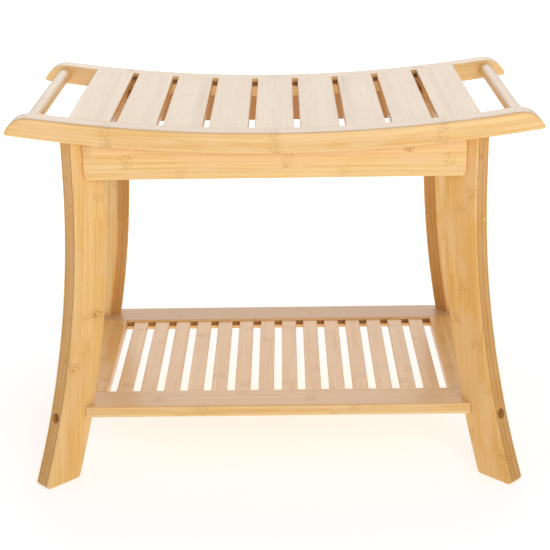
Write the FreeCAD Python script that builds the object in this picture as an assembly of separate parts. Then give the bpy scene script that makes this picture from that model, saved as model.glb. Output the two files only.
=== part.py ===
import FreeCAD, Part
import math
import os
from FreeCAD import Vector

# A bamboo shower bench: a dished seat of nine slats between two swept rails, a round
# grip bar at each end, four sabre legs set at 45 degrees, and a slatted shelf below.
# Millimetres. X runs along the bench, Y from front to back, Z up. The origin is on the
# floor under the middle of the seat. The bench is the same left and right, front and back.

os.makedirs("parts", exist_ok=True)

# ---- Seat rails
seat_length = 612.0        # corner to corner, before the tips are blunted
seat_depth = 330.0
rail_thickness = 28.0
rail_height = 24.0
rail_low_z = 402.0          # underside at mid length, the lowest point of the dish
rail_sweep_radius = 1865.0  # underside; the top is an arc about the same centre
rail_end_radius = 28.0      # rolled-over top corner
rail_tip_radius = 2.6       # blunted lower tip
rail_edge_round = 2.4       # outer face
rail_inner_edge_round = 0.6  # inner face, sanded flush with the slats

# ---- Seat slats, tongued into a groove in each rail
seat_slat_count = 9
seat_slat_pitch = 52.5
seat_slat_width = 45.5
seat_end_slat_extra = 2.8   # the two end slats are this much wider, outwards
seat_slat_thickness = 12.0
seat_slat_round = 1.4
seat_tongue_drop = 4.5      # lip of the rail above the groove
seat_tongue_thickness = 6.0
seat_tongue_length = 8.0
groove_bottom_gap = 0.5     # air past the end of each tongue

# ---- Grip bars
grip_diameter = 17.0
grip_x = 279.0
grip_z = 434.5
grip_socket_depth = 12.5
grip_end_gap = 0.5

# ---- Corners: each leg stands in a vertical plane at 45 degrees, and the planes cross
# the long axis this far from the middle
corner_axis_x = 86.0

# ---- Legs, drawn in their own plane: s runs outwards along the diagonal
leg_thickness = 23.5
leg_width = 47.0
leg_top_z = 424.0           # before the top is coped to the rail's underside
leg_outer_s = 215.0         # outer edge over the straight top part
leg_bend_z = 365.0          # the sweep starts here and runs to the floor
leg_bend_radius = 1000.0    # outer edge; the inner edge is an arc about the same centre
leg_edge_round = 2.4
foot_corner_round = 5.0

# ---- Aprons
apron_face_y = 152.5
apron_thickness = 16.0
apron_low_z = 370.0
apron_edge_round = 1.6      # round the outer face, ends included
apron_corner_round = 4.0    # lower corners, as seen from outside
side_apron_top_z = 412.0

# ---- Corner blocks between the aprons, behind each leg
block_thickness = 20.0
block_low_z = 372.0
block_top_z = 410.0

# ---- Shelf
shelf_face_y = 165.5
shelf_top_z = 90.0
shelf_thickness = 14.0
shelf_rail_width = 47.0
shelf_end_width = 40.0
shelf_edge_round = 1.6
shelf_slat_count = 14
shelf_slat_pitch = 29.4
shelf_slat_width = 19.5
shelf_slat_thickness = 6.5
shelf_slat_drop = 2.5       # slats lie this far under the top of the frame
shelf_slat_round = 1.0
shelf_tongue_length = 8.0

# ---- Fasteners
bolt_diameter = 6.0
bolt_head_diameter = 10.0
bolt_head_height = 5.0
hex_key_size = 4.0
hex_key_depth = 3.0
insert_diameter = 9.0
insert_length = 13.0
bolt_tip_room = 2.0         # free hole past the end of a bolt
shelf_bolt_length = 50.0
shelf_counterbore_diameter = 12.0
shelf_counterbore_depth = 14.0
leg_bolt_length = 38.0
leg_bolt_heights = (382.0, 401.0)
washer_diameter = 12.0
washer_thickness = 1.2
screw_diameter = 4.0
screw_head_diameter = 8.0
screw_head_height = 2.6
block_screw_length = 25.0
block_screw_offset = 32.0   # from the leg's plane
seat_screw_length = 32.0
seat_screw_grip = 12.0      # length inside the rail
seat_screw_spacing = 150.0

# ---- Worked out from the above
half_length = seat_length / 2
rail_inner_y = seat_depth / 2 - rail_thickness
sweep_centre = Vector(0, 0, rail_low_z + rail_sweep_radius)
rail_top_radius = rail_sweep_radius - rail_height
leg_inner_s = leg_outer_s - leg_width
shelf_inner_y = shelf_face_y - shelf_rail_width
shelf_half_length = corner_axis_x + shelf_face_y
shelf_low_z = shelf_top_z - shelf_thickness
shelf_slat_top_z = shelf_top_z - shelf_slat_drop
shelf_slat_low_z = shelf_slat_top_z - shelf_slat_thickness
shelf_bolt_z = shelf_top_z - shelf_thickness / 2
apron_inner_y = apron_face_y - apron_thickness
long_way = 400.0            # longer than any reach a cutting tool needs
skim = 1.0                  # how far a cutting tool starts outside the wood
tiny = 0.001                # two places closer than this are the same

UP = Vector(0, 0, 1)
OUT = Vector(1, 0, 0)       # outwards along the diagonal, in a corner's own frame
BACK = Vector(0, 1, 0)

corner_angles = {
    "rear_right": 45.0,
    "rear_left": 135.0,
    "front_left": 225.0,
    "front_right": 315.0,
}
corner_sides = {
    "rear_right": 1,
    "rear_left": -1,
    "front_left": -1,
    "front_right": 1,
}


# ---- Helpers

def save(name, shape):
    shape.exportStep("parts/" + name + ".step")


def box(low, high):
    size = high - low
    return Part.makeBox(size.x, size.y, size.z, low)


def arc_about(centre, start, end):
    """The shorter arc from start to end about centre."""
    reach = (start - centre).Length
    middle = (start - centre) + (end - centre)
    middle.normalize()
    return Part.Arc(start, centre + middle * reach, end).toShape()


def meeting_points(centre_a, radius_a, centre_b, radius_b):
    """Where two circles in the XZ plane meet, the point with the lower X first."""
    across = centre_b - centre_a
    gap = across.Length
    along = (radius_a ** 2 - radius_b ** 2 + gap ** 2) / (2 * gap)
    off = math.sqrt(radius_a ** 2 - along ** 2)
    unit = across * (1 / gap)
    side = Vector(-unit.z, 0, unit.x)
    foot = centre_a + unit * along
    return sorted([foot + side * off, foot - side * off], key=lambda point: point.x)


def on_circle(centre, radius, towards):
    unit = towards - centre
    unit.normalize()
    return centre + unit * radius


def sweep_point(radius, x):
    """The point at x on an arc about the seat's sweep centre."""
    return Vector(x, 0, sweep_centre.z - math.sqrt(radius ** 2 - x ** 2))


def flip(point):
    return Vector(-point.x, point.y, point.z)


def prism(edges, start_y, end_y):
    """A closed outline in the XZ plane, carried from start_y to end_y."""
    face = Part.Face(Part.Wire(edges))
    face.translate(Vector(0, start_y, 0))
    return face.extrude(Vector(0, end_y - start_y, 0))


def round_edges(shape, radius, wanted):
    edges = [edge for edge in shape.Edges if wanted(edge)]
    return shape.makeFillet(radius, edges)


def lies_across_y(edge):
    return edge.BoundBox.YLength < tiny


def runs_along_y(edge):
    bounds = edge.BoundBox
    return bounds.XLength + bounds.ZLength < tiny


def runs_along_x(edge):
    bounds = edge.BoundBox
    return bounds.YLength + bounds.ZLength < tiny


def biggest(shape):
    return max(shape.Solids, key=lambda solid: solid.Volume)


def under_rails(shape):
    """Trim off whatever rises past the curved underside of the rails."""
    start = sweep_centre - BACK * long_way
    return shape.cut(Part.makeCylinder(rail_sweep_radius, 2 * long_way, start, BACK))


def at_corner(shape, corner):
    """Carry a shape from a corner's own frame to its place on the bench."""
    placed = shape.copy()
    placed.rotate(Vector(0, 0, 0), UP, corner_angles[corner])
    placed.translate(Vector(corner_sides[corner] * corner_axis_x, 0, 0))
    return placed


def cut_at_corners(shape, tool, corners):
    for corner in corners:
        shape = shape.cut(at_corner(tool, corner))
    return biggest(shape)


def front_to_rear(shape):
    return shape.mirror(Vector(0, 0, 0), BACK)


def left_to_right(shape):
    return shape.mirror(Vector(0, 0, 0), OUT)


# ---- Fasteners, each along its own axis

def socket_bolt(seat, direction, length):
    """A cylinder-head bolt with a hex socket; seat is under the head."""
    shank = Part.makeCylinder(bolt_diameter / 2, length, seat, direction)
    head_end = seat - direction * bolt_head_height
    head = Part.makeCylinder(bolt_head_diameter / 2, bolt_head_height, head_end, direction)
    corners = []
    for step in range(7):
        turn = math.radians(60 * step)
        reach = hex_key_size / math.sqrt(3)
        corners.append(Vector(0, reach * math.cos(turn), reach * math.sin(turn)))
    socket = Part.Face(Part.makePolygon(corners)).extrude(OUT * hex_key_depth)
    socket.rotate(Vector(0, 0, 0), UP, 0 if direction.x > 0 else 180)
    socket.translate(head_end)
    return shank.fuse(head).removeSplitter().cut(socket)


def wood_screw(head_face, direction, length):
    """A countersunk screw with a pointed end; head_face is the flat of the head."""
    radius = screw_diameter / 2
    point_length = screw_diameter
    straight = length - point_length
    shank = Part.makeCylinder(radius, straight, head_face, direction)
    point = Part.makeCone(radius, 0.3, point_length, head_face + direction * straight, direction)
    head = Part.makeCone(screw_head_diameter / 2, radius, screw_head_height, head_face, direction)
    return shank.fuse([point, head]).removeSplitter()


def threaded_insert(start, direction):
    sleeve = Part.makeCylinder(insert_diameter / 2, insert_length, start, direction)
    return sleeve.cut(Part.makeCylinder(bolt_diameter / 2, insert_length, start, direction))


# ---- Leg: outline in the corner's own frame

def leg_bend_point(edge_s, radius, z):
    """The point at height z on one curved edge, straight above it at edge_s."""
    drop = leg_bend_z - z
    return Vector(edge_s + radius - math.sqrt(radius ** 2 - drop ** 2), 0, z)


def leg_blank(extra_out):
    """The leg before its edges are rounded; extra_out widens it outwards for a tool."""
    centre = Vector(leg_outer_s + leg_bend_radius, 0, leg_bend_z)
    inner_radius = leg_bend_radius + leg_width
    top_in = Vector(leg_inner_s, 0, leg_top_z)
    bend_in = Vector(leg_inner_s, 0, leg_bend_z)
    foot_in = leg_bend_point(leg_inner_s, inner_radius, 0)
    edges = [
        Part.makeLine(top_in, bend_in),
        arc_about(centre, bend_in, foot_in),
    ]
    if extra_out:
        far_low = Vector(leg_outer_s + extra_out, 0, 0)
        far_top = Vector(leg_outer_s + extra_out, 0, leg_top_z)
        edges.append(Part.makeLine(foot_in, far_low))
        edges.append(Part.makeLine(far_low, far_top))
        edges.append(Part.makeLine(far_top, top_in))
    else:
        foot_out = leg_bend_point(leg_outer_s, leg_bend_radius, 0)
        bend_out = Vector(leg_outer_s, 0, leg_bend_z)
        top_out = Vector(leg_outer_s, 0, leg_top_z)
        edges.append(Part.makeLine(foot_in, foot_out))
        edges.append(arc_about(centre, foot_out, bend_out))
        edges.append(Part.makeLine(bend_out, top_out))
        edges.append(Part.makeLine(top_out, top_in))
    return prism(edges, -leg_thickness / 2, leg_thickness / 2)


# Places of the fasteners along the diagonal
shelf_bolt_face_s = leg_bend_point(leg_outer_s, leg_bend_radius, shelf_bolt_z).x
shelf_notch_s = leg_bend_point(leg_inner_s, leg_bend_radius + leg_width, shelf_bolt_z).x
shelf_bolt_seat = Vector(shelf_bolt_face_s - shelf_counterbore_depth, 0, shelf_bolt_z)
shelf_insert_start = Vector(shelf_notch_s - 1.5, 0, shelf_bolt_z)
block_inner_s = leg_inner_s - block_thickness
leg_insert_s = leg_inner_s + 1.0


def is_foot_corner(edge):
    return runs_along_y(edge) and edge.BoundBox.ZMax < leg_bend_z / 2


def make_leg():
    leg = round_edges(leg_blank(0), foot_corner_round, is_foot_corner)
    leg = round_edges(leg, leg_edge_round, lies_across_y)
    counterbore = Part.makeCylinder(
        shelf_counterbore_diameter / 2, long_way, shelf_bolt_seat, OUT)
    through = Part.makeCylinder(
        bolt_diameter / 2, long_way, shelf_bolt_seat - OUT * long_way, OUT)
    leg = leg.cut([counterbore, through])
    for height in leg_bolt_heights:
        start = Vector(leg_inner_s - skim, 0, height)
        bolt_hole_length = leg_bolt_length - block_thickness + bolt_tip_room
        bolt_hole = Part.makeCylinder(bolt_diameter / 2, bolt_hole_length, start, OUT)
        insert_hole_length = leg_insert_s + insert_length - start.x
        insert_hole = Part.makeCylinder(insert_diameter / 2, insert_hole_length, start, OUT)
        leg = leg.cut([bolt_hole, insert_hole])
    return leg


def block_reach(s):
    """Half the width of a corner block at s, out to the inner faces of the aprons."""
    return apron_inner_y * math.sqrt(2) - s


def make_corner_block():
    outline = [
        Vector(block_inner_s, -block_reach(block_inner_s), block_low_z),
        Vector(leg_inner_s, -block_reach(leg_inner_s), block_low_z),
        Vector(leg_inner_s, block_reach(leg_inner_s), block_low_z),
        Vector(block_inner_s, block_reach(block_inner_s), block_low_z),
    ]
    face = Part.Face(Part.makePolygon(outline + outline[:1]))
    block = face.extrude(UP * (block_top_z - block_low_z))
    for height in leg_bolt_heights:
        start = Vector(block_inner_s - skim, 0, height)
        hole_length = block_thickness + 2 * skim
        block = block.cut(Part.makeCylinder(bolt_diameter / 2, hole_length, start, OUT))
    return block


def corner_screws():
    """Two screws per block, one into each apron, in the corner's own frame."""
    height = (block_low_z + block_top_z) / 2
    screws = []
    for offset in (-block_screw_offset, block_screw_offset):
        head_face = Vector(block_inner_s, offset, height)
        screws.append(wood_screw(head_face, OUT, block_screw_length))
    return screws


def corner_leg_bolts():
    bolts = []
    for height in leg_bolt_heights:
        seat = Vector(block_inner_s - washer_thickness, 0, height)
        bolts.append(socket_bolt(seat, OUT, leg_bolt_length))
    return bolts


def corner_washers():
    washers = []
    for height in leg_bolt_heights:
        start = Vector(block_inner_s - washer_thickness, 0, height)
        disc = Part.makeCylinder(washer_diameter / 2, washer_thickness, start, OUT)
        hole = Part.makeCylinder(bolt_diameter / 2, washer_thickness, start, OUT)
        washers.append(disc.cut(hole))
    return washers


def corner_leg_inserts():
    starts = [Vector(leg_insert_s, 0, height) for height in leg_bolt_heights]
    return [threaded_insert(start, OUT) for start in starts]


def at_every_corner(shapes):
    return [at_corner(shape, corner) for corner in corner_angles for shape in shapes]


# ---- Seat rails

def rail_outline():
    """The closed side outline of a rail: underside, blunt tips, rolled ends and top."""
    tip = sweep_point(rail_sweep_radius, half_length)
    end_centre = meeting_points(
        sweep_centre, rail_top_radius + rail_end_radius, tip, rail_end_radius)[0]
    tip_centre = meeting_points(
        sweep_centre, rail_sweep_radius - rail_tip_radius,
        end_centre, rail_end_radius - rail_tip_radius)[1]
    top_end = on_circle(sweep_centre, rail_top_radius, end_centre)
    end_tip = on_circle(end_centre, rail_end_radius, tip_centre)
    low_end = on_circle(sweep_centre, rail_sweep_radius, tip_centre)
    return [
        arc_about(sweep_centre, flip(low_end), low_end),
        arc_about(tip_centre, low_end, end_tip),
        arc_about(end_centre, end_tip, top_end),
        arc_about(sweep_centre, top_end, flip(top_end)),
        arc_about(flip(end_centre), flip(top_end), flip(end_tip)),
        arc_about(flip(tip_centre), flip(end_tip), flip(low_end)),
    ]


def seat_band(half_angle_start, half_angle_end, drop, thickness, reach_y):
    """A piece of the seat's curved layer between two angles about the sweep centre."""
    upper = rail_top_radius + drop
    lower = upper + thickness
    corners = []
    for radius, turn in (
        (upper, half_angle_start),
        (upper, half_angle_end),
        (lower, half_angle_end),
        (lower, half_angle_start),
    ):
        corners.append(sweep_point(radius, radius * math.sin(turn)))
    edges = [
        arc_about(sweep_centre, corners[0], corners[1]),
        Part.makeLine(corners[1], corners[2]),
        arc_about(sweep_centre, corners[2], corners[3]),
        Part.makeLine(corners[3], corners[0]),
    ]
    return prism(edges, -reach_y, reach_y)


def seat_slat_angles(index):
    """Start and end angle of a slat, counted from 0 at the left."""
    from_middle = index - (seat_slat_count - 1) / 2
    low_x = from_middle * seat_slat_pitch - seat_slat_width / 2
    high_x = low_x + seat_slat_width
    if index == 0:
        low_x -= seat_end_slat_extra
    if index == seat_slat_count - 1:
        high_x += seat_end_slat_extra
    return math.asin(low_x / rail_top_radius), math.asin(high_x / rail_top_radius)


def seat_screw_places():
    """Where the screws from a front or rear apron enter its rail."""
    xs = (-seat_screw_spacing, 0.0, seat_screw_spacing)
    return [sweep_point(rail_sweep_radius, x) for x in xs]


def on_outer_face(edge):
    return lies_across_y(edge) and edge.CenterOfMass.y > seat_depth / 2 - skim


def on_inner_face(edge):
    return lies_across_y(edge) and edge.CenterOfMass.y < rail_inner_y + skim


def make_rear_rail():
    rail = prism(rail_outline(), rail_inner_y, seat_depth / 2)
    rail = round_edges(rail, rail_edge_round, on_outer_face)
    rail = round_edges(rail, rail_inner_edge_round, on_inner_face)
    groove_end = seat_slat_angles(seat_slat_count - 1)[1]
    groove_reach = rail_inner_y + seat_tongue_length + groove_bottom_gap
    groove = seat_band(
        -groove_end, groove_end, seat_tongue_drop, seat_tongue_thickness, groove_reach)
    rail = rail.cut(groove)
    for side in (-1, 1):
        mouth = Vector(side * grip_x, rail_inner_y, grip_z)
        rail = rail.cut(Part.makeCylinder(grip_diameter / 2, grip_socket_depth, mouth, BACK))
    return rail


def make_seat_slat(index):
    start, end = seat_slat_angles(index)
    board = seat_band(start, end, 0, seat_slat_thickness, rail_inner_y)
    board_top = board.BoundBox.ZMax - seat_slat_thickness * 0.8

    def upper_long_edge(edge):
        return runs_along_y(edge) and edge.CenterOfMass.z > board_top

    board = round_edges(board, seat_slat_round, upper_long_edge)
    reach = rail_inner_y + seat_tongue_length
    tongue = seat_band(start, end, seat_tongue_drop, seat_tongue_thickness, reach)
    return board.fuse(tongue).removeSplitter()


def make_grip():
    reach = rail_inner_y + grip_socket_depth - grip_end_gap
    return Part.makeCylinder(grip_diameter / 2, 2 * reach, Vector(grip_x, -reach, grip_z), BACK)


# ---- Aprons

def leg_slot():
    """The whole space between the two wide faces of a leg, at any height."""
    low = Vector(leg_inner_s - long_way / 2, -leg_thickness / 2, 0)
    high = Vector(leg_outer_s + long_way / 2, leg_thickness / 2, 2 * leg_top_z)
    return box(low, high)


def is_low_corner(edge):
    """A short level edge of an apron between its underside and a mitred end."""
    bounds = edge.BoundBox
    return bounds.ZMax < apron_low_z + tiny and bounds.YLength > tiny


def is_apron_rim(edge):
    """Every edge round the outer face of the rear apron but the one under the rail."""
    middle = edge.CenterOfMass
    return lies_across_y(edge) and middle.y > apron_face_y - tiny and (
        middle.z < side_apron_top_z - apron_thickness or abs(middle.x) > seat_screw_spacing)


def make_rear_apron():
    reach = corner_axis_x + apron_face_y
    low_left = Vector(-reach, 0, apron_low_z)
    low_right = Vector(reach, 0, apron_low_z)
    top_left = sweep_point(rail_sweep_radius, -reach)
    top_right = sweep_point(rail_sweep_radius, reach)
    edges = [
        Part.makeLine(low_left, low_right),
        Part.makeLine(low_right, top_right),
        arc_about(sweep_centre, top_right, top_left),
        Part.makeLine(top_left, low_left),
    ]
    apron = prism(edges, apron_inner_y, apron_face_y)
    apron = cut_at_corners(apron, leg_slot(), ("rear_left", "rear_right"))
    apron = round_edges(apron, apron_corner_round, is_low_corner)
    apron = round_edges(apron, apron_edge_round, is_apron_rim)
    middle_y = (apron_inner_y + apron_face_y) / 2
    for place in seat_screw_places():
        foot = place.z + seat_screw_grip - seat_screw_length
        head_low = Vector(place.x, middle_y, apron_low_z - skim)
        well_length = foot - head_low.z
        well = Part.makeCylinder(screw_head_diameter / 2, well_length, head_low, UP)
        apron = apron.cut(well)
    return apron


def make_right_apron():
    outer_x = corner_axis_x + apron_face_y
    inner_x = outer_x - apron_thickness
    apron = box(
        Vector(inner_x, -apron_face_y, apron_low_z),
        Vector(outer_x, apron_face_y, side_apron_top_z))
    apron = round_edges(apron, apron_edge_round, runs_along_y)
    return cut_at_corners(apron, leg_slot(), ("front_right", "rear_right"))


def rear_seat_screws():
    middle_y = (apron_inner_y + apron_face_y) / 2
    screws = []
    for place in seat_screw_places():
        head_z = place.z + seat_screw_grip - seat_screw_length
        screws.append(wood_screw(Vector(place.x, middle_y, head_z), UP, seat_screw_length))
    return screws


# ---- Shelf

def shelf_groove(reach_x):
    """The slot that takes every slat and end board, open towards the middle."""
    depth = shelf_tongue_length + groove_bottom_gap
    return box(
        Vector(-reach_x, shelf_inner_y - skim, shelf_slat_low_z),
        Vector(reach_x, shelf_inner_y + depth, shelf_slat_top_z))


def insert_well():
    """Hole for the shelf insert and for the bolt's end past it."""
    start = shelf_insert_start + OUT * (shelf_thickness / 2)
    wide_length = start.x - (shelf_insert_start.x - insert_length)
    wide = Part.makeCylinder(insert_diameter / 2, wide_length, start, -OUT)
    bolt_end = shelf_bolt_seat.x - shelf_bolt_length - bolt_tip_room
    narrow = Part.makeCylinder(bolt_diameter / 2, start.x - bolt_end, start, -OUT)
    return wide.fuse(narrow)


def is_shelf_rail_edge(edge):
    """All four edges of the outer face, its ends included, and the two long inner ones."""
    low_y = edge.BoundBox.YMin
    outer = low_y > shelf_face_y - tiny
    inner = runs_along_x(edge) and low_y < shelf_inner_y + tiny
    return outer or inner


def make_rear_shelf_rail():
    rail = box(
        Vector(-shelf_half_length, shelf_inner_y, shelf_low_z),
        Vector(shelf_half_length, shelf_face_y, shelf_top_z))
    rail = cut_at_corners(rail, leg_blank(long_way), ("rear_left", "rear_right"))
    rail = round_edges(rail, shelf_edge_round, is_shelf_rail_edge)
    rail = rail.cut(shelf_groove(shelf_half_length - shelf_end_width / 2))
    return cut_at_corners(rail, insert_well(), ("rear_left", "rear_right"))


def make_right_shelf_end():
    inner_x = shelf_half_length - shelf_end_width
    board = box(
        Vector(inner_x, -shelf_inner_y, shelf_low_z),
        Vector(shelf_half_length, shelf_inner_y, shelf_top_z))
    board = round_edges(board, shelf_edge_round, runs_along_y)
    reach = shelf_inner_y + shelf_tongue_length
    tongue = box(
        Vector(inner_x, -reach, shelf_slat_low_z),
        Vector(shelf_half_length - shelf_end_width / 2, reach, shelf_slat_top_z))
    return board.fuse(tongue)


def make_shelf_slat(index):
    from_middle = index - (shelf_slat_count - 1) / 2
    low_x = from_middle * shelf_slat_pitch - shelf_slat_width / 2
    reach = shelf_inner_y + shelf_tongue_length
    slat = box(
        Vector(low_x, -reach, shelf_slat_low_z),
        Vector(low_x + shelf_slat_width, reach, shelf_slat_top_z))
    return round_edges(slat, shelf_slat_round, runs_along_y)


# ---- Build and save

rear_shelf_rail = make_rear_shelf_rail()
screw_bodies = at_every_corner(corner_screws())
seat_screws = rear_seat_screws()
seat_screws += [front_to_rear(screw) for screw in seat_screws]

rear_rail = make_rear_rail().cut(seat_screws)
save("seat_rail_rear", rear_rail)
save("seat_rail_front", front_to_rear(rear_rail))
for index in range(seat_slat_count):
    save("seat_slat_" + str(index + 1), make_seat_slat(index))
save("grip_bar_right", make_grip())
save("grip_bar_left", left_to_right(make_grip()))

rear_apron = make_rear_apron().cut(seat_screws).cut(screw_bodies)
save("apron_rear", rear_apron)
save("apron_front", front_to_rear(rear_apron))
right_apron = make_right_apron().cut(screw_bodies)
save("apron_right", right_apron)
save("apron_left", left_to_right(right_apron))

right_leg = under_rails(at_corner(make_leg(), "rear_right"))
left_leg = left_to_right(right_leg)
save("leg_rear_right", right_leg)
save("leg_rear_left", left_leg)
save("leg_front_right", front_to_rear(right_leg))
save("leg_front_left", front_to_rear(left_leg))
block = make_corner_block().cut(corner_screws())
for corner in corner_angles:
    save("corner_block_" + corner, at_corner(block, corner))

save("shelf_rail_rear", rear_shelf_rail)
save("shelf_rail_front", front_to_rear(rear_shelf_rail))
save("shelf_end_right", make_right_shelf_end())
save("shelf_end_left", left_to_right(make_right_shelf_end()))
for index in range(shelf_slat_count):
    save("shelf_slat_" + str(index + 1), make_shelf_slat(index))

shelf_bolt = socket_bolt(shelf_bolt_seat, -OUT, shelf_bolt_length)
shelf_insert = threaded_insert(shelf_insert_start, -OUT)
save("shelf_bolts", Part.makeCompound(at_every_corner([shelf_bolt])))
save("shelf_inserts", Part.makeCompound(at_every_corner([shelf_insert])))
save("leg_bolts", Part.makeCompound(at_every_corner(corner_leg_bolts())))
save("leg_washers", Part.makeCompound(at_every_corner(corner_washers())))
save("leg_inserts", Part.makeCompound(at_every_corner(corner_leg_inserts())))
save("block_screws", Part.makeCompound(screw_bodies))
save("seat_screws", Part.makeCompound(seat_screws))
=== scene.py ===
import collections
import itertools
import math

import bpy
from mathutils import Matrix, Vector


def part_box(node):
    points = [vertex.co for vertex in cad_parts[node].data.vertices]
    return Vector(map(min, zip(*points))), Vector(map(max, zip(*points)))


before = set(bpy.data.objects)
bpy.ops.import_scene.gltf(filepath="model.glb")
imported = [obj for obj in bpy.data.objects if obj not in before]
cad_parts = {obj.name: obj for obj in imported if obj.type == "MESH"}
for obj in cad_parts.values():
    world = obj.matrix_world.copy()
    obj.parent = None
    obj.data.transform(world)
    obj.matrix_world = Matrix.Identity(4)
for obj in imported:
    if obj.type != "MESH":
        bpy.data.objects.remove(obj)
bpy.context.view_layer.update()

# A bamboo shower bench in a pale studio. Every solid comes from the CAD frame and keeps
# its shape; this script gives each one its own laminated bamboo, or its metal, then adds
# the floor, the light and the camera. Metres, in the CAD frame: X along the bench, Y from
# front to back, Z up.

scene = bpy.context.scene
scene.view_settings.view_transform = "Standard"

X = Vector((1.0, 0.0, 0.0))
Y = Vector((0.0, 1.0, 0.0))
Z = Vector((0.0, 0.0, 1.0))
MM = 1000.0                # millimetres in a metre

# ---- Bamboo colours, linear
STRAW = (0.90, 0.60, 0.245)
HONEY = (0.76, 0.415, 0.115)
BLUSH = (0.86, 0.55, 0.27)
TOAST = (0.45, 0.19, 0.04)
# painted sheen: the pale cream that faces looking up are mixed towards
PAINTED_SHEEN = (0.90, 0.76, 0.63)
AMBER = (0.74, 0.37, 0.075)
KNUCKLE = (0.36, 0.13, 0.02)
GLINT = (0.95, 0.66, 0.30)
GLUE = (0.36, 0.15, 0.035)

# ---- How much of a colour goes over the wood, at most
BLUSH_SHARE = 0.50
DASH_SHARE = 0.22
FINE_SHARE = 0.22
BAND_SHARE = 0.40
DARK_MARK_SHARE = 0.75
LIGHT_MARK_SHARE = 0.60

# ---- Fine structure of bamboo, in millimetres
LAYER_GLUE = 0.45          # half width of a glue line between layers
STRIP_GLUE = 0.27          # half width of a glue line between strips
DARK_EDGE = 0.3            # thickness over which the dark layer sets in (painted shade on the aprons)
KNUCKLE_CORE = 1.0         # half length of a knuckle at its strongest
KNUCKLE_REACH = 11.0       # half length of the disturbed band round a knuckle
KNUCKLE_WANDER = 9.0       # how far a knuckle wanders from fibre to fibre
CHEVRON_PITCH = 2.7        # between the nested marks inside that band
CHEVRON_WANDER = 6.0       # how far those marks wander
SWIRL_BEND = 7.0           # how far a knuckle pushes the fibres aside
FIBRE_DRIFT = 9.0          # how far the fibres drift aside along a board
SIDE_SPREAD = 90.0         # how far the noise moves across from strip to strip
DEPTH_SPREAD = 70.0        # and how far it moves through the layers

# ---- Fine structure of bamboo, as ratios
CHEVRON_RISE = 0.7         # lean of the nested marks, beside the strip's width
FAINTEST_KNUCKLE = 0.35    # beside the strongest
FAINTEST_SKIN = 0.25       # what a layer without skin still shows at its glue line

# ---- Numbers that keep the random draws for layers, strips and pieces apart
LAYER_SALT = 3.0
CELL_SALT = 5.0
SKIN_SALT = 9.0
PIECE_STEP = 17.0

# ---- Noises in the wood: how fast each runs along the grain and across it, beside how
# fast it runs through the layers, then its scale per millimetre, detail and roughness
Noise = collections.namedtuple("Noise", "along across scale detail rough")
WANDER = Noise(0.03, 1.0, 0.28, 2.0, 0.5)
SWIRL = Noise(0.30, 0.6, 0.80, 1.0, 0.5)
DRIFT = Noise(0.05, 1.0, 0.10, 1.0, 0.5)
BROAD = Noise(0.010, 1.0, 0.13, 2.0, 0.6)
STREAKS = Noise(0.016, 1.0, 0.36, 3.0, 0.7)
FINE = Noise(0.05, 1.0, 2.2, 2.0, 0.6)
DASHES = Noise(0.10, 1.6, 0.75, 1.0, 0.5)
PATCHES = Noise(0.35, 1.0, 0.045, 1.0, 0.5)
FLECKS = Noise(0.8, 1.0, 0.55, 2.0, 0.7)

# ---- Finishes
Finish = collections.namedtuple("Finish", "specular coat")
LACQUERED = Finish(0.5, 0.45)
SATIN = Finish(0.40, 0.40)
OILED = Finish(0.2, 0.0)
BAMBOO_IOR = 1.5
BAMBOO_ROUGHNESS = 0.40
COAT_ROUGHNESS = 0.28
Bump = collections.namedtuple("Bump", "strength height")
BAMBOO_BUMP = Bump(0.6, 0.00025)
METAL_BUMP = Bump(0.4, 0.00005)
METAL_PATCHES = 180.0      # scale of the dull patches, per metre
METAL_MARKS = 2200.0       # scale of the tool marks, per metre

# ---- What a board may set, with the usual value; lengths in millimetres
BAMBOO_INPUTS = {
    "Seed": 0.0,
    "Strip": 11.0,
    "Layer": 7.0,
    "Piece length": 5000.0,
    "Knuckle spacing": 185.0,
    "Knuckle scatter": 1.0,
    "Knuckles": 1.0,
    "Seams": 0.18,
    "Skin": 0.25,
    "Contrast": 0.8,
    "Warmth": 0.45,
    # Pale top: how far faces that look up are mixed towards the painted sheen
    "Pale top": 0.3,
    # Dark, from Dark from to Dark to: a darker band through the layers, painted shade on the
    # aprons' inner side
    "Dark": 0.0,
    "Dark from": 0.0,
    "Dark to": 0.0,
}


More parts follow.
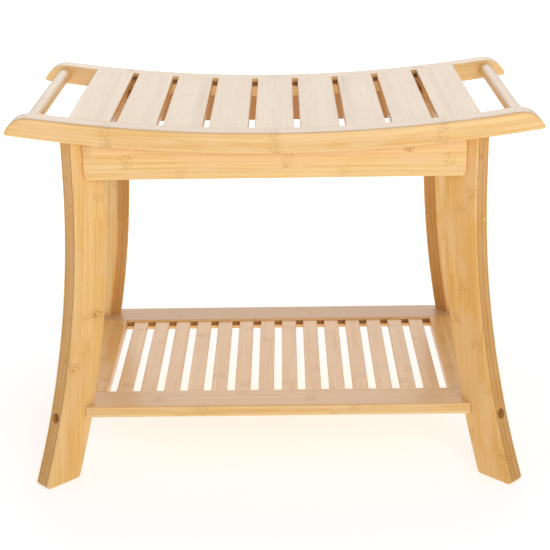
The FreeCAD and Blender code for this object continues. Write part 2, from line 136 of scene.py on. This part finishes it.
class Graph:
    """Short names for building a node tree; a value may be a socket or a plain number."""

    def __init__(self, tree):
        self.tree = tree

    def node(self, kind, **settings):
        made = self.tree.nodes.new(kind)
        for name, value in settings.items():
            setattr(made, name, value)
        return made

    def put(self, socket, value):
        if isinstance(value, bpy.types.NodeSocket):
            self.tree.links.new(value, socket)
        elif socket.type == "RGBA" and len(value) == 3:
            socket.default_value = (*value, 1.0)
        else:
            socket.default_value = value

    def math(self, operation, first, second=0.0, clamp=False):
        made = self.node("ShaderNodeMath", operation=operation, use_clamp=clamp)
        self.put(made.inputs[0], first)
        self.put(made.inputs[1], second)
        return made.outputs[0]

    def add(self, first, second):
        return self.math("ADD", first, second)

    def sub(self, first, second):
        return self.math("SUBTRACT", first, second)

    def mul(self, first, second):
        return self.math("MULTIPLY", first, second)

    def div(self, first, second):
        return self.math("DIVIDE", first, second)

    def floor(self, value):
        return self.math("FLOOR", value)

    def fract(self, value):
        return self.math("FRACT", value)

    def size(self, value):
        return self.math("ABSOLUTE", value)

    def clamp(self, value):
        return self.math("ADD", value, clamp=True)

    def swing(self, value, amount):
        """A value from 0 to 1, as a swing of that amount round zero."""
        return self.mul(self.sub(value, 0.5), amount)

    def from_middle(self, place):
        """How far a place is from the middle of its whole-number cell."""
        return self.size(self.sub(self.fract(place), 0.5))

    def split(self, vector):
        made = self.node("ShaderNodeSeparateXYZ")
        self.put(made.inputs[0], vector)
        return made.outputs[0], made.outputs[1], made.outputs[2]

    def join(self, x, y, z):
        made = self.node("ShaderNodeCombineXYZ")
        self.put(made.inputs[0], x)
        self.put(made.inputs[1], y)
        self.put(made.inputs[2], z)
        return made.outputs[0]

    def ramp(self, value, low, high, start=0.0, end=1.0):
        """Smoothly from start to end as value goes from low to high."""
        made = self.node("ShaderNodeMapRange", interpolation_type="SMOOTHSTEP")
        for socket, number in zip(made.inputs, (value, low, high, start, end)):
            self.put(socket, number)
        return made.outputs[0]

    def mix(self, factor, first, second):
        made = self.node("ShaderNodeMix", data_type="RGBA")
        self.put(made.inputs[0], factor)
        self.put(made.inputs[6], first)
        self.put(made.inputs[7], second)
        return made.outputs[2]

    def noise(self, vector, scale, detail, rough):
        made = self.node("ShaderNodeTexNoise")
        self.put(made.inputs["Vector"], vector)
        made.inputs["Scale"].default_value = scale
        made.inputs["Detail"].default_value = detail
        made.inputs["Roughness"].default_value = rough
        return made.outputs[0]

    def wood_noise(self, kind, point):
        along, across, through = point
        place = self.join(self.mul(along, kind.along), self.mul(across, kind.across), through)
        return self.noise(place, kind.scale, kind.detail, kind.rough)

    def chance(self, vector):
        """Three random numbers that stay the same all over one whole-number cell."""
        made = self.node("ShaderNodeTexWhiteNoise", noise_dimensions="3D")
        self.put(made.inputs[0], vector)
        return self.split(made.outputs["Color"])

    def bump(self, shader, relief, bump):
        made = self.node("ShaderNodeBump")
        made.inputs["Strength"].default_value = bump.strength
        made.inputs["Distance"].default_value = bump.height
        self.put(made.inputs["Height"], relief)
        self.put(shader.inputs["Normal"], made.outputs["Normal"])


# ---- Laminated bamboo. In the functions below g is the graph, given holds the board's own
# settings, and point is (along the grain, across the strips, through the layers), in
# millimetres.
def glued_strips(g, given, point):
    """Where a point lies among the layers and among the strips, counted in layers and in
    strips, and three random numbers for the piece of strip that it is in."""
    along, across, through = point
    seed = given["Seed"]
    layer_place = g.div(through, given["Layer"])
    layer = g.floor(layer_place)
    layer_shift = g.chance(g.join(layer, seed, LAYER_SALT))[0]
    strip_place = g.add(g.div(across, given["Strip"]), layer_shift)
    strip = g.floor(strip_place)
    joint_shift = g.chance(g.join(strip, layer, seed))[0]
    piece = g.floor(g.add(g.div(along, given["Piece length"]), joint_shift))
    cell = g.join(strip, g.add(layer, g.mul(piece, PIECE_STEP)), g.add(seed, CELL_SALT))
    return layer_place, strip_place, g.chance(cell)


def knuckle_band(g, given, point, hue, luck):
    """Distance to the nearest knuckle, wavy from fibre to fibre, and how much it shows."""
    spacing = given["Knuckle spacing"]
    phase = g.add(g.div(point[0], spacing), g.mul(g.add(hue, luck), given["Knuckle scatter"]))
    wander = g.swing(g.wood_noise(WANDER, point), KNUCKLE_WANDER)
    distance = g.size(g.add(g.swing(g.fract(phase), spacing), wander))
    near = g.ramp(distance, KNUCKLE_CORE, KNUCKLE_REACH, 1.0, 0.0)
    strength = g.mul(g.ramp(luck, 0.0, 1.0, FAINTEST_KNUCKLE, 1.0), given["Knuckles"])
    return distance, g.mul(near, strength)


def knuckle_marks(g, given, point, strip_place, distance, band, swirl):
    """Dark and light marks in a knuckle's band: nested chevrons, broken up into flecks."""
    lean = g.mul(g.from_middle(strip_place), g.mul(given["Strip"], CHEVRON_RISE))
    chevron = g.add(g.add(distance, lean), g.swing(swirl, CHEVRON_WANDER))
    wave = g.math("SINE", g.mul(chevron, math.tau / CHEVRON_PITCH))
    mark = g.add(g.mul(wave, 0.30), g.swing(g.wood_noise(FLECKS, point), 3.2))
    dark_mark = g.mul(g.ramp(mark, 0.0, 0.45), band)
    light_mark = g.mul(g.ramp(mark, -0.05, -0.5), band)
    return dark_mark, light_mark


def fibre_point(g, point, band, swirl, tone, hue):
    """The point as its fibre sees it. Fibres drift, swirl where a knuckle crosses them, and
    differ from strip to strip."""
    along, across, through = point
    bend = g.mul(g.swing(swirl, band), SWIRL_BEND)
    drift = g.swing(g.wood_noise(DRIFT, point), FIBRE_DRIFT)
    side = g.add(g.add(across, bend), g.add(drift, g.mul(hue, SIDE_SPREAD)))
    depth = g.add(through, g.mul(tone, DEPTH_SPREAD))
    return along, side, depth


def glue_line(g, place, width, half):
    """1 on the line between two cells of this width, falling to 0 about half away from it."""
    away = g.mul(g.sub(0.5, g.from_middle(place)), width)
    return g.ramp(away, half * 0.4, half * 1.6, 1.0, 0.0)


def glue_seams(g, given, layer_place, strip_place, hue):
    """Glue lines: faint between strips, and darker where outer skin was left on a layer."""
    skin_cell = g.join(g.floor(g.add(layer_place, 0.5)), given["Seed"], SKIN_SALT)
    skin = g.add(g.chance(skin_cell)[1], FAINTEST_SKIN)
    layer_line = g.mul(glue_line(g, layer_place, given["Layer"], LAYER_GLUE), skin)
    strip_line = glue_line(g, strip_place, given["Strip"], STRIP_GLUE)
    strip_line = g.mul(strip_line, g.ramp(hue, 0.2, 1.0))
    return g.add(g.mul(layer_line, given["Skin"]), g.mul(strip_line, given["Seams"]))


def dark_layer_and_painted_shade(g, given, through):
    """1 between the board's two dark limits through its layers, and 0 outside them. On the
    aprons this paints shade on their inner side, under the seat; on the legs it darkens the
    middle layers.
    """
    start = given["Dark from"]
    end = given["Dark to"]
    after_start = g.ramp(through, g.sub(start, DARK_EDGE), start)
    before_end = g.ramp(through, end, g.add(end, DARK_EDGE), 1.0, 0.0)
    return g.mul(after_start, before_end)


def fibre_color(g, given, point, fibre, streaks, fine, dash, tone):
    """The wood without its knuckles and its glue lines, with its dark layer, which on the
    aprons is painted shade.
    """
    contrast = given["Contrast"]
    level = g.add(g.swing(g.wood_noise(BROAD, fibre), 2.0), g.swing(streaks, 3.0))
    level = g.add(level, g.swing(tone, 0.35))
    level = g.add(g.mul(level, contrast), given["Warmth"])
    patches = g.ramp(g.wood_noise(PATCHES, point), 0.42, 0.62)
    color = g.mix(g.clamp(level), STRAW, HONEY)
    color = g.mix(g.mul(patches, BLUSH_SHARE), color, BLUSH)
    color = g.mix(g.mul(g.mul(dash, contrast), DASH_SHARE), color, TOAST)
    color = g.mix(g.mul(g.mul(g.sub(fine, 0.3), contrast), FINE_SHARE), color, HONEY)
    # the dark layer: painted shade on the aprons' inner side, darker middle layers on the legs
    return g.mix(g.mul(dark_layer_and_painted_shade(g, given, point[2]), given["Dark"]), color, TOAST)


def paint_top_sheen(g, given, color):
    """Painted sheen: faces that look up are mixed paler than the rest, towards a pale cream
    that stands in for the light they reflect.
    """
    facing = g.node("ShaderNodeNewGeometry").outputs["Normal"]
    upward = g.ramp(g.split(facing)[2], 0.35, 0.92)
    return g.mix(g.clamp(g.mul(upward, given["Pale top"])), color, PAINTED_SHEEN)


def add_sockets(tree):
    sockets = tree.interface
    sockets.new_socket(name="Grain", in_out="INPUT", socket_type="NodeSocketVector")
    for name in BAMBOO_INPUTS:
        sockets.new_socket(name=name, in_out="INPUT", socket_type="NodeSocketFloat")
    sockets.new_socket(name="Color", in_out="OUTPUT", socket_type="NodeSocketColor")
    sockets.new_socket(name="Roughness", in_out="OUTPUT", socket_type="NodeSocketFloat")
    sockets.new_socket(name="Height", in_out="OUTPUT", socket_type="NodeSocketFloat")


def bamboo_group():
    """Laminated bamboo as a solid: strips side by side and in layers, glued. Its vector is
    in millimetres, X along the grain, Y across the strips and Z through the layers."""
    tree = bpy.data.node_groups.new("laminated_bamboo", "ShaderNodeTree")
    add_sockets(tree)
    g = Graph(tree)
    given = g.node("NodeGroupInput").outputs
    point = g.split(given["Grain"])
    layer_place, strip_place, (tone, hue, luck) = glued_strips(g, given, point)
    distance, band = knuckle_band(g, given, point, hue, luck)
    swirl = g.wood_noise(SWIRL, point)
    marks = knuckle_marks(g, given, point, strip_place, distance, band, swirl)
    dark_mark, light_mark = marks
    fibre = fibre_point(g, point, band, swirl, tone, hue)
    streaks = g.wood_noise(STREAKS, fibre)
    fine = g.wood_noise(FINE, fibre)
    dash = g.ramp(g.wood_noise(DASHES, fibre), 0.60, 0.74)
    seam = glue_seams(g, given, layer_place, strip_place, hue)

    color = fibre_color(g, given, point, fibre, streaks, fine, dash, tone)
    color = g.mix(g.mul(band, BAND_SHARE), color, AMBER)
    color = g.mix(g.mul(dark_mark, DARK_MARK_SHARE), color, KNUCKLE)
    color = g.mix(g.mul(light_mark, LIGHT_MARK_SHARE), color, GLINT)
    color = g.mix(g.clamp(seam), color, GLUE)
    # painted sheen on faces that look up
    color = paint_top_sheen(g, given, color)

    rough = g.add(BAMBOO_ROUGHNESS, g.swing(streaks, 0.25))
    rough = g.add(rough, g.add(g.mul(dark_mark, 0.12), g.mul(seam, 0.12)))

    height = g.add(g.mul(streaks, 0.35), g.mul(fine, 0.25))
    height = g.sub(height, g.add(g.mul(seam, 0.55), g.mul(dash, 0.20)))
    height = g.add(height, g.sub(g.mul(band, 0.30), g.mul(dark_mark, 0.15)))

    out = g.node("NodeGroupOutput")
    g.put(out.inputs["Color"], color)
    g.put(out.inputs["Roughness"], rough)
    g.put(out.inputs["Height"], height)
    return tree


BAMBOO = bamboo_group()


# ---- Materials
def new_material(name):
    material = bpy.data.materials.new(name)
    material.use_nodes = True
    tree = material.node_tree
    return material, Graph(tree), tree.nodes["Principled BSDF"]


def bamboo_material(name, middle, grain_axis, strip_axis, finish=SATIN, shift=(0.0, 0.0, 0.0),
                    sweep=math.inf, **values):
    """Bamboo for one board, its wood measured from the board's middle. The grain runs along
    grain_axis, the strips lie side by side along strip_axis, and shift moves the pattern,
    in millimetres. A swept board's grain follows its sweep, of that radius, in X and Z.
    values are what this board sets among BAMBOO_INPUTS."""
    material, g, shader = new_material("bamboo_" + name)
    turn = Matrix((grain_axis, strip_axis, grain_axis.cross(strip_axis)))
    x, y, z = g.split(g.node("ShaderNodeTexCoord").outputs["Object"])
    z = g.sub(z, g.mul(g.mul(x, x), 0.5 / sweep))
    mapping = g.node("ShaderNodeMapping")
    g.put(mapping.inputs["Vector"], g.join(x, y, z))
    mapping.inputs["Rotation"].default_value = turn.to_euler()
    mapping.inputs["Scale"].default_value = (MM, MM, MM)
    mapping.inputs["Location"].default_value = Vector(shift) - turn @ middle * MM
    bamboo = g.node("ShaderNodeGroup", node_tree=BAMBOO)
    g.put(bamboo.inputs["Grain"], mapping.outputs["Vector"])
    for socket, usual in BAMBOO_INPUTS.items():
        keyword = socket.replace(" ", "_").lower()
        bamboo.inputs[socket].default_value = values.get(keyword, usual)
    g.put(shader.inputs["Base Color"], bamboo.outputs["Color"])
    g.put(shader.inputs["Roughness"], bamboo.outputs["Roughness"])
    g.bump(shader, bamboo.outputs["Height"], BAMBOO_BUMP)
    shader.inputs["IOR"].default_value = BAMBOO_IOR
    shader.inputs["Specular IOR Level"].default_value = finish.specular
    shader.inputs["Coat Weight"].default_value = finish.coat
    shader.inputs["Coat Roughness"].default_value = COAT_ROUGHNESS
    return material


def metal_material(name, bright, dull, rough):
    """Turned or plated steel or brass: fine tool marks, and dull patches."""
    material, g, shader = new_material(name)
    place = g.node("ShaderNodeTexCoord").outputs["Object"]
    patches = g.noise(place, METAL_PATCHES, 3.0, 0.6)
    marks = g.noise(place, METAL_MARKS, 2.0, 0.6)
    g.put(shader.inputs["Base Color"], g.mix(g.ramp(patches, 0.35, 0.7), bright, dull))
    g.put(shader.inputs["Roughness"], g.add(rough, g.swing(marks, 0.2)))
    g.bump(shader, marks, METAL_BUMP)
    shader.inputs["Metallic"].default_value = 1.0
    return material


def dress(node, material):
    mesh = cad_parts[node].data
    mesh.materials.clear()
    mesh.materials.append(material)


# ---- Every board, with the way its grain and its strips run
SEAT_SLATS = 9
SHELF_SLATS = 14
SEAT_PAINTED_SHEEN = 0.38                # how strongly the seat, its rails and the grips get the painted sheen on their tops
RAIL_SWEEP = 1.865              # radius of the seat rails' sweep
# The aprons' dark layer, from 2.6 to 12 mm towards the inside, is painted shade under the seat.
APRON_WITH_PAINTED_SHADE = {"strip": 17.0, "layer": 5.3, "dark": 0.8, "dark_from": 2.6, "dark_to": 12.0}
LEG_LEAN = math.radians(5.0)    # the grain of a leg leans outwards towards the foot
LEG_WARMTH = {"front_left": 0.5, "front_right": 0.9, "rear_left": 0.5, "rear_right": 0.8}

seeds = itertools.count(1)


def board(node, grain_axis, strip_axis, **values):
    low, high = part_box(node)
    middle = (low + high) / 2.0
    seed = next(seeds)
    dress(node, bamboo_material(node, middle, grain_axis, strip_axis, seed=seed, **values))


def leg_directions(corner):
    """Unit vectors for a leg: level and outwards, down its grain, and across its width."""
    x_sign = -1.0 if corner.endswith("left") else 1.0
    y_sign = -1.0 if corner.startswith("front") else 1.0
    out = Vector((x_sign, y_sign, 0.0)).normalized()
    down = out * math.sin(LEG_LEAN) - Z * math.cos(LEG_LEAN)
    wide = out * math.cos(LEG_LEAN) + Z * math.sin(LEG_LEAN)
    return out, down, wide


for end, warmth in (("front", 0.6), ("rear", 0.0)):
    board("seat_rail_" + end, X, Z, finish=LACQUERED, strip=26.0, sweep=RAIL_SWEEP,
          shift=(95.0, 10.0, 2.0), knuckle_spacing=190.0, knuckle_scatter=0.0, knuckles=1.5,
          warmth=warmth, pale_top=SEAT_PAINTED_SHEEN)
for end, grain_axis in (("front", -X), ("rear", X)):
    board("apron_" + end, grain_axis, Z, warmth=0.5, **APRON_WITH_PAINTED_SHADE)
    board("shelf_rail_" + end, X, Y, strip=20.0, layer=9.0, shift=(0.0, 0.0, 2.0), skin=0.5,
          warmth=0.3, pale_top=0.18)
for side, grain_axis in (("left", Y), ("right", -Y)):
    board("apron_" + side, grain_axis, Z, **APRON_WITH_PAINTED_SHADE)
    # The shelf ends are warmer and darker than the slats and get no paling: painted shade
    # beside the legs.
    board("shelf_end_" + side, Y, X, strip=20.0, layer=9.0, warmth=0.7, pale_top=0.0)
    board("grip_bar_" + side, Y, X, finish=LACQUERED, strip=9.0, layer=6.0,
          pale_top=SEAT_PAINTED_SHEEN)
for number in range(1, SEAT_SLATS + 1):
    board("seat_slat_%d" % number, Y, X, finish=LACQUERED, strip=23.0, layer=5.0,
          knuckles=0.5, seams=0.05, contrast=0.6, pale_top=SEAT_PAINTED_SHEEN)
for number in range(1, SHELF_SLATS + 1):
    board("shelf_slat_%d" % number, Y, X, strip=21.0, layer=5.0, knuckles=0.9, seams=0.0,
          contrast=0.6, pale_top=0.22)
for corner, warmth in LEG_WARMTH.items():
    out, down, wide = leg_directions(corner)
    board("leg_" + corner, down, wide, finish=OILED, strip=16.0, layer=8.0,
          piece_length=330.0, skin=1.0, seams=0.35, contrast=0.65, warmth=warmth,
          pale_top=0.0, dark=0.5, dark_from=-8.0, dark_to=8.0)
    board("corner_block_" + corner, out.cross(Z), Z, strip=9.0)

# ---- Every fastener
stainless = metal_material("stainless_steel", (0.60, 0.60, 0.61), (0.42, 0.42, 0.43), 0.32)
zinc = metal_material("zinc_steel", (0.62, 0.60, 0.52), (0.42, 0.41, 0.36), 0.42)
brass = metal_material("insert_brass", (0.72, 0.55, 0.24), (0.48, 0.34, 0.13), 0.38)
for node in ("shelf_bolts", "leg_bolts", "leg_washers"):
    dress(node, stainless)
for node in ("block_screws", "seat_screws"):
    dress(node, zinc)
for node in ("shelf_inserts", "leg_inserts"):
    dress(node, brass)

# ---- Floor, with a glow of its own that is weaker under the bench
FLOOR_HALF = 150.0
FLOOR_COLOR = (0.62, 0.65, 0.68, 1.0)
FLOOR_ROUGHNESS = 0.9
WHITE = (1.0, 1.0, 1.0, 1.0)
GLOW_NEAR = 0.58
GLOW_FAR = 1.0
GLOW_RISES_FROM = 0.3
GLOW_RISES_TO = 1.6


def make_floor():
    half = FLOOR_HALF
    mesh = bpy.data.meshes.new("floor")
    corners = [(-half, -half, 0.0), (half, -half, 0.0), (half, half, 0.0), (-half, half, 0.0)]
    mesh.from_pydata(corners, [], [(0, 1, 2, 3)])
    floor = bpy.data.objects.new("floor", mesh)
    scene.collection.objects.link(floor)
    material, g, shader = new_material("pale_floor")
    shader.inputs["Base Color"].default_value = FLOOR_COLOR
    shader.inputs["Roughness"].default_value = FLOOR_ROUGHNESS
    shader.inputs["Emission Color"].default_value = WHITE
    away = g.node("ShaderNodeVectorMath", operation="LENGTH")
    g.put(away.inputs[0], g.node("ShaderNodeTexCoord").outputs["Object"])
    distance = away.outputs["Value"]
    glow = g.ramp(distance, GLOW_RISES_FROM, GLOW_RISES_TO, GLOW_NEAR, GLOW_FAR)
    g.put(shader.inputs["Emission Strength"], glow)
    mesh.materials.append(material)


# ---- Light: the studio's walls and ceiling, and two lamps in watts
WALL_FRONT = 0.38
WALL_BACK = 0.5
WALL_LEFT = 0.3            # added to the other two towards the left
WALL_RIGHT = 0.3           # and towards the right
OVERHEAD = 0.45
BENCH_MIDDLE = (0.0, 0.0, 0.25)
KEY_PLACE = (0.9, -2.8, 1.7)
KEY_SIZE = (1.6, 1.2)
KEY_POWER = 24.5
SHEEN_PLACE = (0.0, 2.6, 1.35)
SHEEN_SIZE = (3.0, 0.9)
SHEEN_POWER = 16.0


def make_world():
    """A white studio, not quite even: walls in front, behind and to each side, and overhead."""
    world = bpy.data.worlds.new("studio")
    scene.world = world
    world.use_nodes = True
    g = Graph(world.node_tree)
    background = world.node_tree.nodes["Background"]
    background.inputs["Color"].default_value = WHITE
    sideways, away, upward = g.split(g.node("ShaderNodeTexCoord").outputs["Generated"])
    walls = g.ramp(away, -0.5, 0.5, WALL_FRONT, WALL_BACK)
    walls = g.add(walls, g.ramp(sideways, -0.9, -0.3, WALL_LEFT, 0.0))
    walls = g.add(walls, g.ramp(sideways, 0.3, 0.9, 0.0, WALL_RIGHT))
    overhead = g.ramp(upward, 0.35, 0.85)
    walls = g.mul(walls, g.sub(1.0, overhead))
    g.put(background.inputs["Strength"], g.add(walls, g.mul(overhead, OVERHEAD)))


def soft_light(name, place, size, power):
    """A soft box that faces the middle of the bench."""
    data = bpy.data.lights.new(name, "AREA")
    data.shape = "RECTANGLE"
    data.size, data.size_y = size
    data.energy = power
    light = bpy.data.objects.new(name, data)
    scene.collection.objects.link(light)
    reach = Vector(BENCH_MIDDLE) - Vector(place)
    light.location = place
    light.rotation_euler = reach.to_track_quat("-Z", "Y").to_euler()


# ---- Camera
CAMERA_PLACE = (0.0112, -1.6868, 0.8034)
CAMERA_PITCH = math.radians(19.757)
CAMERA_YAW = math.radians(-0.472)
CAMERA_ROLL = math.radians(0.849)
SENSOR_WIDTH = 36.0
LENS = 90.8


def make_camera():
    data = bpy.data.cameras.new("camera")
    data.sensor_width = SENSOR_WIDTH
    data.lens = LENS
    camera = bpy.data.objects.new("camera", data)
    scene.collection.objects.link(camera)
    camera.matrix_world = (
        Matrix.Translation(CAMERA_PLACE)
        @ Matrix.Rotation(-CAMERA_YAW, 4, "Z")
        @ Matrix.Rotation(math.pi / 2 - CAMERA_PITCH, 4, "X")
        @ Matrix.Rotation(-CAMERA_ROLL, 4, "Z")
    )
    scene.camera = camera


make_floor()
make_world()
soft_light("key", KEY_PLACE, KEY_SIZE, KEY_POWER)
soft_light("sheen", SHEEN_PLACE, SHEEN_SIZE, SHEEN_POWER)
make_camera()
